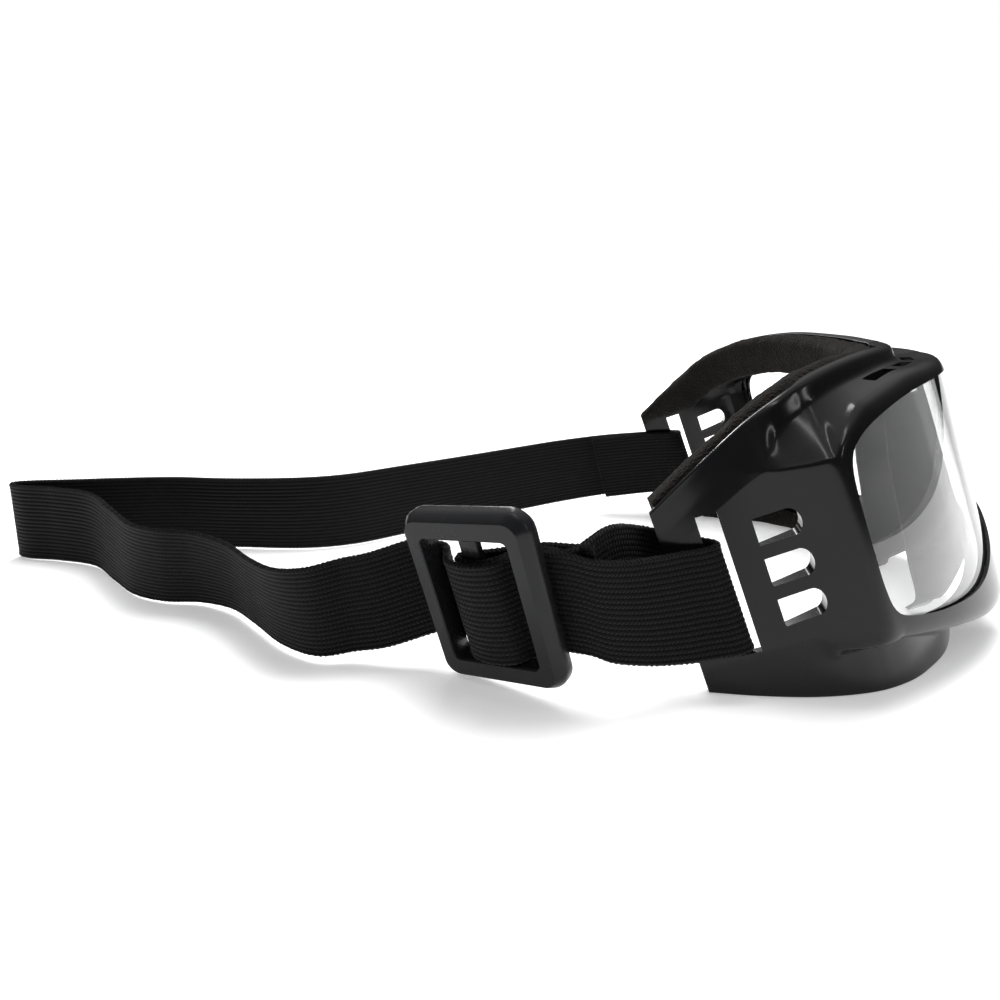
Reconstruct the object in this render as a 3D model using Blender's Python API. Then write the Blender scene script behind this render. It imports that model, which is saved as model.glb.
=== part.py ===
"""Sports protective goggles: moulded wrap-round frame, one-piece lens, foam face seal,
25 mm elastic head strap and its tri-glide slider.

The goggles rest on their lower skirt and lean back by LEAN.  Every frame dimension is given in the
frame's own upright system in millimetres: x across the face, d towards the face (the lens side is
negative), h up.  place() turns that system into the resting pose, in metres, +Z up.
"""
import math
import bpy
import bmesh
import numpy as np
from mathutils import Vector

# ------------------------------------------------------------------ driving dimensions (mm, degrees)
LEAN = math.radians(20.5)          # backward lean of the resting frame
ORIGIN_X, ORIGIN_Y = 7.65, 65.14     # centre of the whole object's footprint
LENS_DEPTH, LENS_CURVE = 87.4, 0.00709   # lens front: d = -LENS_DEPTH + LENS_CURVE * x^2
LIP = 0.9                          # bezel lip stands this far in front of the lens
WALL = 2.3
RING = 6.0                         # depth of the bezel ring behind its lip
LENS_T = 2.0
REAR_D = -4.85                     # rear edge of the temples
SLOT_D, SLOT_H = (-18.6, -13.8), (4.9, 36.8)
VENT_D = (-34.6, -25.0)
VENT_H = ((27.1, 33.2), (17.9, 24.1), (8.8, 14.9))
NOSE_HALF, NOSE_TOP = 24.5, -6.5
STRAP_W, STRAP_T = 25.0, 1.5
SLIDER_W, SLIDER_H, SLIDER_T = 33.0, 42.4, 6.0
WINDOW_W, WINDOW_H = 22.8, 30.4
GAP = 0.3

# brow edge: half width x, depth d, height h, from the temple's rear corner to the centre
BROW = ((74.4, -4.85, 40.8), (73.2, -13.2, 45.1), (71.8, -21.9, 49.2), (70.3, -30.5, 53.0),
        (66.2, -39.6, 55.4), (58.0, -49.9, 56.6), (43.5, -62.3, 55.2), (22.0, -72.6, 51.6),
        (0.0, -76.0, 50.0))
# lower skirt edge in plan (its height follows the surface that the goggles rest on)
SKIRT = ((77.9, -4.85), (78.0, -15.0), (76.6, -27.0), (72.6, -38.5), (66.6, -47.0), (58.4, -54.0),
         (44.5, -62.3), (25.0, -68.5), (0.0, -70.5))
# lens opening, half outline: x, h
OPENING = ((0.0, 39.2), (20.0, 40.3), (38.0, 42.6), (55.0, 44.6), (67.0, 44.1), (73.4, 42.0),
           (75.8, 38.3), (76.5, 31.0), (76.6, 20.0), (76.5, 10.5), (75.5, 4.5), (72.2, 1.0),
           (62.9, -4.0), (50.0, -8.0), (38.0, -8.4), (24.0, -5.5), (12.0, -1.5), (0.0, 0.0))
# bezel lip's lower and upper edges, height over half width
LIP_LOW = ((0.0, -21.0), (25.0, -22.0), (40.0, -19.0), (55.0, -13.0), (66.0, -7.5), (76.0, -2.0))
LIP_TOP = ((0.0, 43.2), (20.0, 44.2), (38.0, 46.6), (55.0, 48.8), (67.0, 48.6), (76.0, 45.0))


# ------------------------------------------------------------------ curves
def curve(points, n):
    """n points, evenly spaced along a Catmull-Rom curve through the given points."""
    p = np.array(points, float)
    ext = np.vstack([2 * p[0] - p[1], p, 2 * p[-1] - p[-2]])
    fine = []
    for i in range(1, len(ext) - 2):
        a, b, c, e = ext[i - 1], ext[i], ext[i + 1], ext[i + 2]
        for u in np.linspace(0, 1, 24, endpoint=False):
            fine.append(0.5 * (2 * b + (c - a) * u + (2 * a - 5 * b + 4 * c - e) * u * u
                               + (3 * b - a - 3 * c + e) * u ** 3))
    fine.append(p[-1])
    fine = np.array(fine)
    s = np.r_[0, np.cumsum(np.linalg.norm(np.diff(fine, axis=0), axis=1))]
    u = np.linspace(0, s[-1], n)
    return np.stack([np.interp(u, s, fine[:, k]) for k in range(p.shape[1])], 1)


def smooth(a, b, v):
    u = min(max((v - a) / (b - a), 0.0), 1.0)
    return u * u * (3 - 2 * u)


def place(x, d, h):
    """Frame system in mm -> resting pose in metres."""
    y = d * math.cos(LEAN) + h * math.sin(LEAN)
    z = -d * math.sin(LEAN) + h * math.cos(LEAN)
    return ((x + ORIGIN_X) / 1000, (y - ORIGIN_Y) / 1000, z / 1000)


def stand(x, y, z):
    """Resting pose in mm -> metres."""
    return ((x + ORIGIN_X) / 1000, (y - ORIGIN_Y) / 1000, z / 1000)


# ------------------------------------------------------------------ scene and mesh helpers
for old in list(bpy.data.objects):
    bpy.data.objects.remove(old, do_unlink=True)
scene = bpy.context.scene
parts = bpy.data.collections.new("sports_protective_goggles")
cutters = bpy.data.collections.new("cutters")
scene.collection.children.link(parts)
scene.collection.children.link(cutters)


def material(name, colour, rough, metallic=0.0, alpha=1.0):
    m = bpy.data.materials.new(name)
    m.use_nodes = True
    b = m.node_tree.nodes["Principled BSDF"]
    b.inputs["Base Color"].default_value = (*colour, 1)
    b.inputs["Roughness"].default_value = rough
    b.inputs["Metallic"].default_value = metallic
    b.inputs["Alpha"].default_value = alpha
    return m


BLACK = material("frame_black", (0.012, 0.012, 0.013), 0.22)
CLEAR = material("lens_clear", (0.9, 0.93, 0.95), 0.03, alpha=0.25)
FOAM = material("foam_black", (0.03, 0.024, 0.02), 0.95)
ELASTIC = material("strap_elastic", (0.01, 0.01, 0.011), 0.75)
SATIN = material("slider_black", (0.013, 0.013, 0.014), 0.35)


def mesh_object(name, verts, faces, mat=None, cutter=False):
    me = bpy.data.meshes.new(name)
    me.from_pydata([tuple(v) for v in verts], [], faces)
    bm = bmesh.new()
    bm.from_mesh(me)
    bmesh.ops.recalc_face_normals(bm, faces=bm.faces)
    bm.to_mesh(me)
    bm.free()
    ob = bpy.data.objects.new(name, me)
    (cutters if cutter else parts).objects.link(ob)
    if cutter:
        ob.hide_render = True
        ob.display_type = "WIRE"
    if mat:
        me.materials.append(mat)
    return ob


def loft(rings, closed=False):
    """Skin over equal rings of points; open lofts get end caps."""
    n, m = len(rings), len(rings[0])
    verts = [p for r in rings for p in r]
    faces = []
    for i in range(n if closed else n - 1):
        j = (i + 1) % n
        for k in range(m):
            q = (k + 1) % m
            faces.append((i * m + k, i * m + q, j * m + q, j * m + k))
    if not closed:
        faces.append(tuple(range(m)))
        faces.append(tuple((n - 1) * m + k for k in range(m)))
    return verts, faces


def prism(name, outline, lift):
    """Closed cutter from an outline; lift(u, v, side) gives a point of either end."""
    rings = [[lift(u, v, side) for u, v in outline] for side in (0, 1)]
    return mesh_object(name, *loft(rings), cutter=True)


def boolean(ob, other, op="DIFFERENCE"):
    m = ob.modifiers.new(other.name, "BOOLEAN")
    m.operation = op
    m.solver = "EXACT"
    m.object = other


def outward(path, k):
    """Unit plan normal at station k of an (x, d) path that runs from +x to -x round the front."""
    a, b = path[max(k - 1, 0)], path[min(k + 1, len(path) - 1)]
    t = np.array([b[0] - a[0], b[1] - a[1]])
    t /= np.linalg.norm(t)
    return np.array([-t[1], t[0]])


# ------------------------------------------------------------------ frame shell
def lens_d(x):
    return -LENS_DEPTH + LENS_CURVE * x * x


def side_half(d, h):
    """Half width of the flat side panel: it leans in towards the top."""
    return 76.3 + 0.055 * (-d - 15) + 0.13 * (20 - h)


def interp(table, x):
    xs = [r[0] for r in table]
    return float(np.interp(x, xs, [r[1] for r in table]))


# lower edge of the side panel's and bezel's lip, and the two edges of the ledge under the brow, over depth
STEP = ((-49.0, -3.0), (-45.0, -2.0), (-40.0, -1.6), (-34.4, 0.1), (-28.0, 5.0), (-18.0, 4.6), (-4.85, 3.5))
LEDGE_LOW = ((-54.5, 48.2), (-51.5, 46.6), (-49.5, 45.4), (-46.9, 43.6), (-44.3, 41.9), (-40.0, 42.0),
             (-35.4, 42.4), (-30.1, 42.7))
LEDGE_TOP = ((-46.9, 51.6), (-42.9, 50.8), (-39.4, 49.7), (-35.4, 47.7), (-32.2, 45.4), (-30.1, 43.1))
TURN_D, TURN_X = -42.2, 76.4        # the side turns into the front between this depth and this half width
SIDE = (REAR_D, -9.5, -13.8, -18.6, -23.0, -27.0, -30.1, -32.2, -35.4, -38.5, -40.6, TURN_D)
TURN = (0.3, 0.65)
FRONT = (TURN_X, 74.0, 70.5, 66.0, 61.0, 55.5, 49.5, 43.0, 36.5, 30.0, 24.0, 18.0, 12.0, 6.0, 0.0)
brow_fine = curve(BROW, 1200)
skirt_fine = curve(SKIRT, 1200)


def row_at(fine, column, value):
    """Fractional row of a fine curve where one of its columns, which falls along it, has this value."""
    return float(np.interp(-value, -fine[:, column], np.arange(len(fine))))


def row(fine, at):
    return np.array([np.interp(at, np.arange(len(fine)), fine[:, k]) for k in range(fine.shape[1])])


def side_x(d):
    return 76.3 + 0.055 * (-d - 15) + 0.65 * smooth(25.0, 41.0, -d)


def on_rim(kind, v):
    """Plan point of the outer face, its outward normal, and the brow and skirt points beside it."""
    bs, ss = row_at(brow_fine, 1, TURN_D), row_at(skirt_fine, 1, TURN_D)
    bf, sf = row_at(brow_fine, 0, 0.80 * TURN_X), row_at(skirt_fine, 0, 0.905 * TURN_X)
    p0, p2 = np.array([side_x(TURN_D), TURN_D]), np.array([TURN_X, lens_d(TURN_X) - LIP])
    p1 = np.array([78.6, -44.6])
    if kind == "side":
        p, t = np.array([side_x(v), v]), np.array([0.0, -1.0])
        b, k = row_at(brow_fine, 1, v), row_at(skirt_fine, 1, v)
    elif kind == "turn":
        p = (1 - v) ** 2 * p0 + 2 * v * (1 - v) * p1 + v * v * p2
        t = (1 - v) * (p1 - p0) + v * (p2 - p1)
        b, k = bs + (bf - bs) * v, ss + (sf - ss) * v
    else:
        p, t = np.array([v, lens_d(v) - LIP]), np.array([-1.0, -2 * LENS_CURVE * v])
        b, k = row_at(brow_fine, 0, 0.80 * v), row_at(skirt_fine, 0, 0.905 * v)
    t = t / np.linalg.norm(t)
    return p, np.array([-t[1], t[0]]), row(brow_fine, b), row(skirt_fine, k)


def section(station):
    """Outer and inner profile of the shell, bottom edge to brow edge, for the +x half."""
    p, n, brow, skirt = on_rim(*station)
    x, d = p
    front = smooth(20.0, 42.0, -d)              # 0 on the flat side panel, 1 round the bezel
    step = smooth(27.0, 38.0, -d)               # depth of the step under the lip
    tuck = smooth(29.5, 36.0, -d)               # depth of the ledge under the brow
    low = interp(STEP, d) if x > 75.5 or d > -44 else interp(LIP_LOW, x)
    top = interp(LEDGE_LOW, d) if d > -54.5 else interp(LIP_TOP, x)
    base = interp(LEDGE_TOP, d) if d > -44 else brow[2] - 4.9
    if d > -30.1:
        top = brow[2] - 10.3
        base = brow[2] - 9.9 + 4.0 * smooth(-30.1, -22.0, d)
    floor_h = math.tan(LEAN) * skirt[1]
    round_r = 0.8 + 1.8 * smooth(42.0, 60.0, -d)

    def face(h, inset=0.0):
        lean = 0.13 * (20 - h) * (1 - front)
        return np.array([x + n[0] * (lean - inset), d + n[1] * (lean - inset), h])

    def panel(h, inset=0.0):
        """Side panel: flat, then curving in to the brow edge."""
        q = face(h, inset)
        h0 = brow[2] - 11.0
        if h > h0:
            u = min((h - h0) / 11.0, 1.0) ** 1.5
            q = q + (np.array([brow[0] - n[0] * inset, brow[1] - n[1] * inset, h]) - q) * u
        return q

    def beside(line, off, h):
        return np.array([line[0] + n[0] * off, line[1] + n[1] * off, h])

    def mix(u, v, w):
        return u + (v - u) * w

    def ring(h):
        """Back of the bezel ring, kept from crowding inside the turn."""
        if station[0] == "turn":
            a, b = side_x(TURN_D) - RING, TURN_X - 0.735 * RING
            return mix(np.array([a, TURN_D + 3.4, h]), np.array([b, lens_d(TURN_X) - LIP + 0.678 * RING, h]), station[1])
        return face(h, RING) + np.array([0, 3.4 * smooth(34.0, 42.2, -d) if station[0] == "side" else 0.0, 0])
    p0 = beside(skirt, 0, floor_h)
    p2 = face(low, 1.2 * step)
    p1 = mix(mix(p0, p2, 0.55), beside(skirt, 0.4, low - 2.0), step)
    pl = mix(panel(top), face(top, round_r), tuck)
    pb = mix(panel(base), beside(brow, 1.6, base), tuck)
    outer = [p0, p1, p2, face(low + 1.4, 0.4 * step), face(low + 4.0), face(0.5 * (low + top)),
             face(top - 1.6 * round_r), face(top - 0.45 * round_r, 0.3 * round_r * tuck), pl,
             mix(pl, pb, 0.6) - np.array([0, 0, 0.25 * tuck]), pb,
             mix(panel(brow[2] - 1.0), beside(brow, 1.2, brow[2] - 1.0), tuck), beside(brow, 0, brow[2])]
    hs = floor_h + np.array([0, 0.15, 0.27, 0.5, 0.73, 0.84, 0.93, 1.0]) * (brow[2] - floor_h)
    flat = [beside(skirt, -WALL, floor_h)] + [panel(h, WALL) for h in hs[1:]]
    deep = [beside(skirt, -WALL, math.tan(LEAN) * (skirt[1] - n[1] * WALL)), beside(skirt, 0.8 - WALL, low - 1.5),
            ring(low + 3.0), ring(0.5 * (low + top)), ring(top - 2.6),
            beside(brow, -0.7, base - 2.0), beside(brow, -WALL, base + 0.6), beside(brow, -WALL, brow[2])]
    inner = [mix(u, v, front) for u, v in zip(flat, deep)]
    return outer, inner


stations = [("side", d) for d in SIDE] + [("turn", t) for t in TURN] + [("front", x) for x in FRONT]
half = [o + i[::-1] for o, i in map(section, stations)]
rings = [[place(*q) for q in r] for r in half]
rings += [[place(-q[0], q[1], q[2]) for q in r] for r in half[-2::-1]]
frame = mesh_object("frame", *loft(rings), mat=BLACK)

# opening for the lens, its groove, and the lens itself share one outline
def outline(grow_x, grow_h, n=46):
    pts = curve(OPENING, n)
    mid = 18.0
    pts = [(x * (1 + grow_x / 77.1), h + grow_h * (1 if h > mid else -1) * min(abs(h - mid) / 12.0, 1.0))
           for x, h in pts]
    return pts + [(-x, h) for x, h in pts[-2:0:-1]]


opening = prism("opening_cutter", outline(0, 0), lambda u, v, s: place(u, (-110, -41.5)[s], v))
boolean(frame, opening)


def lens_solid(name, grow_x, grow_h, front, back, cutter):
    """Curved sheet between two parabolic faces, trimmed to the opening's outline."""
    rim = outline(grow_x, grow_h)
    n = len(rim)
    verts, faces = [], []
    levels = (1.0, 0.8, 0.55, 0.3)
    for off in (front, back):
        base = len(verts)
        for lv in levels:
            for x, h in rim:
                X, H = x * lv, 18 + (h - 18) * lv
                verts.append(place(X, lens_d(X) + off, H))
        verts.append(place(0, lens_d(0) + off, 18))
        for i in range(len(levels) - 1):
            for k in range(n):
                q = (k + 1) % n
                faces.append((base + i * n + k, base + i * n + q, base + (i + 1) * n + q, base + (i + 1) * n + k))
        c = base + len(levels) * n
        for k in range(n):
            faces.append((base + 3 * n + k, base + 3 * n + (k + 1) % n, c))
    half_count = len(levels) * n + 1
    for k in range(n):
        q = (k + 1) % n
        faces.append((k, q, half_count + q, half_count + k))
    return mesh_object(name, verts, faces, None if cutter else CLEAR, cutter)


groove = lens_solid("groove_cutter", 0.5, 1.9, -0.2, LENS_T + 0.7, True)
boolean(frame, groove)
lens = lens_solid("lens", 0.15, 1.4, 0.2, LENS_T + 0.2, False)

# nose walls: two thin webs behind the lens, from the brow to the skirt
WALL_ROWS = ((18.2, -61.0, -66.0, -22.3), (24.2, -63.3, -70.0, -17.5), (23.0, -64.1, -77.8, -9.0),
             (21.5, -65.0, -80.2, -2.0), (19.9, -65.9, -80.4, 6.0), (18.2, -67.2, -80.8, 18.0),
             (17.2, -69.6, -81.0, 32.0), (16.6, -72.6, -80.8, 42.5))
for sign, side in ((1, "far"), (-1, "near")):
    web = [[place(sign * (x - 1.0), dr, h), place(sign * (x + 1.0), dr, h),
            place(sign * (x + 1.0), df, h), place(sign * (x - 1.0), df, h)] for x, dr, df, h in WALL_ROWS]
    wall = mesh_object("nose_wall_" + side, *loft(web), cutter=True)
    boolean(frame, wall, "UNION")

# nose notch through the skirt and the lower bezel
arch = [(-NOSE_HALF - 1.5, -40), (-NOSE_HALF - 1.0, -24), (-NOSE_HALF + 2.0, -15.5), (-15.5, -9.5), (-7.5, NOSE_TOP - 0.6), (0, NOSE_TOP)]
arch = arch + [(-x, h) for x, h in arch[-2::-1]]
notch = prism("nose_cutter", arch, lambda u, v, s: place(u, (-100, -66.8)[s], v))
boolean(frame, notch)

# strap slots and the three D-shaped vents on each side
def d_shape(d0, d1, h0, h1):
    """Straight rear edge, round front end, long edges rising slightly to the front."""
    r = (h1 - h0) / 2
    pts = [(d1, h1), (d1, h0)]
    for a in np.linspace(-90, 90, 9):
        pts.append((d0 + r * 0.75 - r * 0.75 * math.cos(math.radians(a)), (h0 + h1) / 2 + 0.6 + r * math.sin(math.radians(a))))
    return pts


for sign, side in ((1, "far"), (-1, "near")):
    cut = [("slot_" + side, [(SLOT_D[0], SLOT_H[0]), (SLOT_D[1], SLOT_H[0]), (SLOT_D[1], SLOT_H[1]), (SLOT_D[0], SLOT_H[1])])]
    for i, (h0, h1) in enumerate(VENT_H):
        cut.append(("vent_%d_%s" % (i + 1, side), d_shape(VENT_D[0], VENT_D[1], h0, h1)))
    for name, shape in cut:
        c = prism(name, shape, lambda u, v, s, sg=sign: place(sg * (66, 92)[s], u, v))
        boolean(frame, c)

# ledge slits between the brow band and the bezel
for sign, side in ((1, "far"), (-1, "near")):
    for i, xc in enumerate((47.0, 32.5, 16.0)):
        c0, c1 = row(brow_fine, row_at(brow_fine, 0, xc - 5.0)), row(brow_fine, row_at(brow_fine, 0, xc + 5.0))
        ring = [(c1[0] + 1.3, c1[1] - 2.6), (c0[0] + 1.3, c0[1] - 2.6), (c0[0] + 2.2, c0[1] - 5.2), (c1[0] + 2.2, c1[1] - 5.2)]
        h = interp(LIP_TOP, xc / 0.8)
        c = prism("slit_%d_%s" % (i + 1, side), ring, lambda u, v, s, sg=sign, hh=h: place(sg * u, v, hh + (-8, 6)[s]))
        boolean(frame, c)


# ------------------------------------------------------------------ foam
def strip(name, path, sect, mat):
    """Sweep: path gives (x, d, h, plan normal); sect gives (inward, up) pairs per station."""
    rings = []
    for k in range(len(path)):
        x, d, h = path[k][:3]
        n = outward(path, k)
        rings.append([place(x - n[0] * a, d - n[1] * a, h + b) for a, b in sect(path[k], k / (len(path) - 1))])
    return mesh_object(name, *loft(rings), mat=mat)


full = list(curve(BROW, 34))
brow_path = [tuple(p) for p in full] + [(-p[0], p[1], p[2]) for p in full[-2::-1]]
brow_path = [p for p in brow_path if p[1] < -6.0]


def brow_sect(p, u):
    tall = min(12.5, max(3.6, p[2] - 38.0))
    a = WALL + 0.55
    return [(a, 0.6), (a + 6.5, 0.6), (a + 7.5, -0.35 * tall), (a + 6.0, 0.6 - tall), (a + 0.6, 0.6 - tall), (a, -0.5 * tall)]


foam_top = strip("brow_foam", brow_path, brow_sect, FOAM)

skirt_half = curve(SKIRT, 60)
low_path = [(x, d, math.tan(LEAN) * d) for x, d in skirt_half if -58.0 < d < -15.5]


def cheek_sect(p, u):
    a = WALL + 0.7
    return [(a, 1.0), (a + 5.0, 0.6), (a + 5.6, 4.0), (a + 4.6, 7.4), (a + 0.2, 7.4)]


for sign, side in ((1, "far"), (-1, "near")):
    pth = [(sign * x, d, h) for x, d, h in low_path]
    rings = []
    for k in range(len(pth)):
        n = outward([(x, d) for x, d, h in low_path], k)
        x, d, h = pth[k]
        rings.append([place(x - sign * n[0] * a, d - n[1] * a, math.tan(LEAN) * (d - n[1] * a) + b) for a, b in cheek_sect(pth[k], 0)])
    mesh_object("cheek_foam_" + side, *loft(rings), mat=FOAM)


# ------------------------------------------------------------------ slider (tri-glide) and its frame of reference
SC = np.array([-86.0, 44.0, 22.9])                 # slider centre in the resting pose
YAW, ROLL, TIP = math.radians(25.0), math.radians(8.0), math.radians(-14.0)
E1 = np.array([math.sin(YAW), math.cos(YAW), 0.0])  # from its front rail to its rear rail
NRM = np.array([-math.cos(YAW) * math.cos(TIP), math.sin(YAW) * math.cos(TIP), math.sin(TIP)])  # out, away from the wearer
UPRIGHT = np.array([math.cos(YAW) * math.sin(TIP), -math.sin(YAW) * math.sin(TIP), math.cos(TIP)])
UP = UPRIGHT * math.cos(ROLL) + E1 * math.sin(ROLL)
AL = E1 * math.cos(ROLL) - UPRIGHT * math.sin(ROLL)


def on_slider(a, n, u):
    return SC + AL * a + NRM * n + UP * u


def slider_point(a, n, u):
    return stand(*on_slider(a, n, u))


def rounded(w, h, r, n=5):
    pts = []
    for cx, cy, a0 in ((w / 2 - r, h / 2 - r, 0), (-w / 2 + r, h / 2 - r, 90), (-w / 2 + r, -h / 2 + r, 180), (w / 2 - r, -h / 2 + r, 270)):
        for k in range(n):
            a = math.radians(a0 + 90 * k / (n - 1))
            pts.append((cx + r * math.cos(a), cy + r * math.sin(a)))
    return pts


def slab(w, h, r, levels):
    """Rounded plate: levels are (offset along the normal, inset)."""
    return [[slider_point(a, n, u) for a, u in rounded(w - 2 * i, h - 2 * i, max(r - i, 0.3))] for n, i in levels]


t = SLIDER_T / 2
slider = mesh_object("slider", *loft(slab(SLIDER_W, SLIDER_H, 5.0, ((-t, 1.0), (-t + 1.0, 0), (t - 2.2, 0), (t - 0.9, 0.5), (t, 1.8)))), mat=SATIN)
window = mesh_object("slider_window", *loft(slab(WINDOW_W, WINDOW_H, 1.4, ((-9, 0), (9, 0)))), cutter=True)
boolean(slider, window)
bar = mesh_object("slider_bar", *loft([[slider_point(a, n, u) for a, n in ((-2.4, -0.6), (-1.9, -1.0), (1.9, -1.0), (2.4, -0.6), (2.4, 0.6), (1.9, 1.0), (-1.9, 1.0), (-2.4, 0.6))] for u in (-WINDOW_H / 2 - 1.5, WINDOW_H / 2 + 1.5)]), cutter=True)
boolean(slider, bar, "UNION")


# ------------------------------------------------------------------ strap
def ribbon(name, rows, thick, mat=ELASTIC):
    """Flat band: rows of (lower edge, upper edge), both in the resting pose in mm."""
    rings = []
    for k in range(len(rows)):
        lo, hi = rows[k]
        tan = np.array(rows[min(k + 1, len(rows) - 1)][0]) - np.array(rows[max(k - 1, 0)][0])
        w = np.array(hi) - np.array(lo)
        nn = np.cross(tan, w)
        nn = nn / np.linalg.norm(nn) * thick / 2
        rings.append([stand(*(lo + nn)), stand(*(lo - nn)), stand(*(hi - nn)), stand(*(hi + nn))])
    return mesh_object(name, *loft(rings), mat=mat)


def edge_rows(points, n):
    """points: x, y, z of the lower edge and the upper edge's offset in x and y."""
    rows = []
    for x, y, z, lx, ly in curve(points, n):
        lo = np.array([x, y, z])
        rows.append((lo, lo + np.array([lx, ly, math.sqrt(STRAP_W ** 2 - lx * lx - ly * ly)])))
    return rows


def lift(a):
    """The band lies a little low in the slider and askew to it."""
    return -1.9 + 0.04 * a


def slider_rows(points, n):
    return [(on_slider(a, m, lift(a) - STRAP_W / 2), on_slider(a, m, lift(a) + STRAP_W / 2)) for a, m in curve(points, n)]


def start(a, n):
    """A band end on the slider, as an edge point with its lean."""
    lo = on_slider(a, n, lift(a) - STRAP_W / 2)
    up = UP * STRAP_W
    return (lo[0], lo[1], lo[2], up[0], up[1])


EDGE = 19.2      # where the bands leave the slider, from its centre
WEB = 1.2        # band thickness inside the slider
ribbon("strap_weave", slider_rows([(-EDGE, -4.6), (-14.0, -4.5), (-10.2, -3.5), (-7.8, -0.5), (-5.2, 2.7), (0, 3.9), (5.2, 2.7), (7.8, -0.5), (10.2, -3.5), (14.0, -4.5), (EDGE, -4.6)], 44), WEB)
ribbon("strap_loop", slider_rows([(-EDGE, -6.3), (-14.0, -6.3), (-9.8, -5.4), (-7.6, -2.9), (-5.4, 0.2), (-3.4, 1.8), (0, 2.15), (3.0, 1.75), (4.1, 0), (3.0, -1.75), (0, -2.2), (-4.5, -4.1), (-8.5, -6.6), (-14.0, -8.0), (-EDGE, -8.1)], 60), WEB)

front = [start(-EDGE - 0.9, -4.6), (-88.0, 16.0, 10.4, -3.6, 5.0), (-85.5, 8.0, 9.2, -1.5, 6.4), (-83.2, 0.0, 9.2, 1.2, 7.6),
         (-81.7, -5.5, 9.8, 2.6, 8.4), (-80.6, -10.5, 10.5, 3.2, 8.75), (-78.4, -13.4, 10.9, 3.2, 8.75), (-75.6, -13.3, 10.9, 3.2, 8.75),
         (-73.7, -10.4, 10.8, 3.2, 8.6), (-72.6, -3.0, 11.2, 3.0, 7.8), (-73.6, 5.0, 12.6, 2.4, 7.0),
         (-79.8, 13.0, 14.4, -1.0, 5.6), start(-EDGE - 1.2, -7.2)]
ribbon("strap_front", edge_rows(front, 72), STRAP_T)

BACK = [start(EDGE + 0.7, -4.6), (-73.2, 69.5, 4.2, -3.0, 3.6), (-73.6, 78.0, 2.6, -3.6, 1.8), (-75.5, 87.0, 1.6, -5.5, 0.0),
        (-70.0, 98.0, 1.6, -9.0, -2.5), (-59.5, 109.5, 1.9, -11.0, -4.0), (-49.5, 121.0, 1.6, -10.0, -4.0),
        (-44.5, 133.0, 0.9, -8.0, -3.0), (-44.5, 144.5, 0.6, -7.0, -3.0), (-40.5, 156.0, 0.6, -6.0, -4.0),
        (-30.0, 169.0, 0.6, -4.0, -3.5), (-18.5, 183.0, 0.6, -1.5, -1.5), (-15.0, 198.0, 0.6, -0.5, -0.5),
        (-14.4, 210.0, 0.6, 0.0, 0.0), (-11.0, 215.2, 0.6, 0.0, 0.0), (-7.6, 210.0, 0.6, 0.0, 0.5),
        (-4.0, 197.0, 0.6, 0.0, 1.0), (0.5, 184.0, 0.6, -0.5, 1.0), (6.0, 166.0, 0.6, -1.5, 1.0), (7.5, 146.0, 0.6, -2.0, 1.0),
        (9.5, 124.0, 0.6, 0.0, 1.0), (17.0, 108.0, 0.6, 1.0, 2.0), (32.5, 92.0, 0.9, 1.0, 2.0), (48.5, 74.5, 1.6, 0.0, 2.4),
        (62.5, 56.0, 3.0, -1.2, 3.6), (72.5, 37.0, 5.2, -2.2, 5.2), (79.0, 18.0, 7.4, -2.8, 6.8), (81.8, 2.0, 9.0, -3.1, 8.2),
        (80.6, -10.5, 10.5, -3.2, 8.75), (78.4, -13.4, 10.9, -3.2, 8.75), (75.6, -13.3, 10.9, -3.2, 8.75),
        (73.7, -10.4, 10.8, -3.2, 8.6), (73.0, -3.0, 10.4, -3.1, 8.0), (73.2, 6.0, 9.3, -3.0, 7.4), (72.9, 14.0, 8.2, -2.9, 6.9), (71.8, 22.0, 7.2, -2.6, 6.2)]
ribbon("strap_back", edge_rows(BACK, 210), STRAP_T)

# the slider travels along the band; its origin sits at its centre
axis = bpy.data.objects.new("slider_axis", None)
axis.location = stand(*SC)
parts.objects.link(axis)
for name in ("slider", "strap_weave", "strap_loop"):
    ob = bpy.data.objects[name]
    me = ob.data
    for v in me.vertices:
        v.co -= Vector(stand(*SC))
    ob.parent = axis
for name in ("slider_window", "slider_bar"):
    ob = bpy.data.objects[name]
    for v in ob.data.vertices:
        v.co -= Vector(stand(*SC))
    ob.parent = axis
bpy.context.view_layer.update()
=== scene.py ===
import math
import bpy
import bmesh
import numpy as np
from mathutils import Vector, Matrix


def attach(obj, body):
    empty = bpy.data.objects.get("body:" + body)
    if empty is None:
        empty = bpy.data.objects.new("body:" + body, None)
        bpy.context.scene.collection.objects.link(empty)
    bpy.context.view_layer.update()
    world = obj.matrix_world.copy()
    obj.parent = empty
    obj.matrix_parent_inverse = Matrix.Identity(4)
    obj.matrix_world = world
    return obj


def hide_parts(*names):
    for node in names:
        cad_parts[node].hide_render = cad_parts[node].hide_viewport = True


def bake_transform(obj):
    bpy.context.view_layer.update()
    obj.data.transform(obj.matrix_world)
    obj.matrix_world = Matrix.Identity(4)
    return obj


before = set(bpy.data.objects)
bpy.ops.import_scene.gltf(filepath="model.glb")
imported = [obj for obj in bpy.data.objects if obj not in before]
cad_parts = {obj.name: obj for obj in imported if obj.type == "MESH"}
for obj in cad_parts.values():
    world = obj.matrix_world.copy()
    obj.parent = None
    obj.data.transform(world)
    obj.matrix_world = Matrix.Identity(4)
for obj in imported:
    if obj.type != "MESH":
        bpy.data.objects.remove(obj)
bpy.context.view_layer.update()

# ------------------------------------------------------------------ design numbers, as in the CAD (mm)
LEAN = math.radians(20.5)
ORIGIN_X, ORIGIN_Y = 7.65, 65.14
LENS_DEPTH, LENS_CURVE = 87.4, 0.00709
LIP, WALL, RING, LENS_T = 0.9, 2.3, 6.0, 2.0
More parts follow.
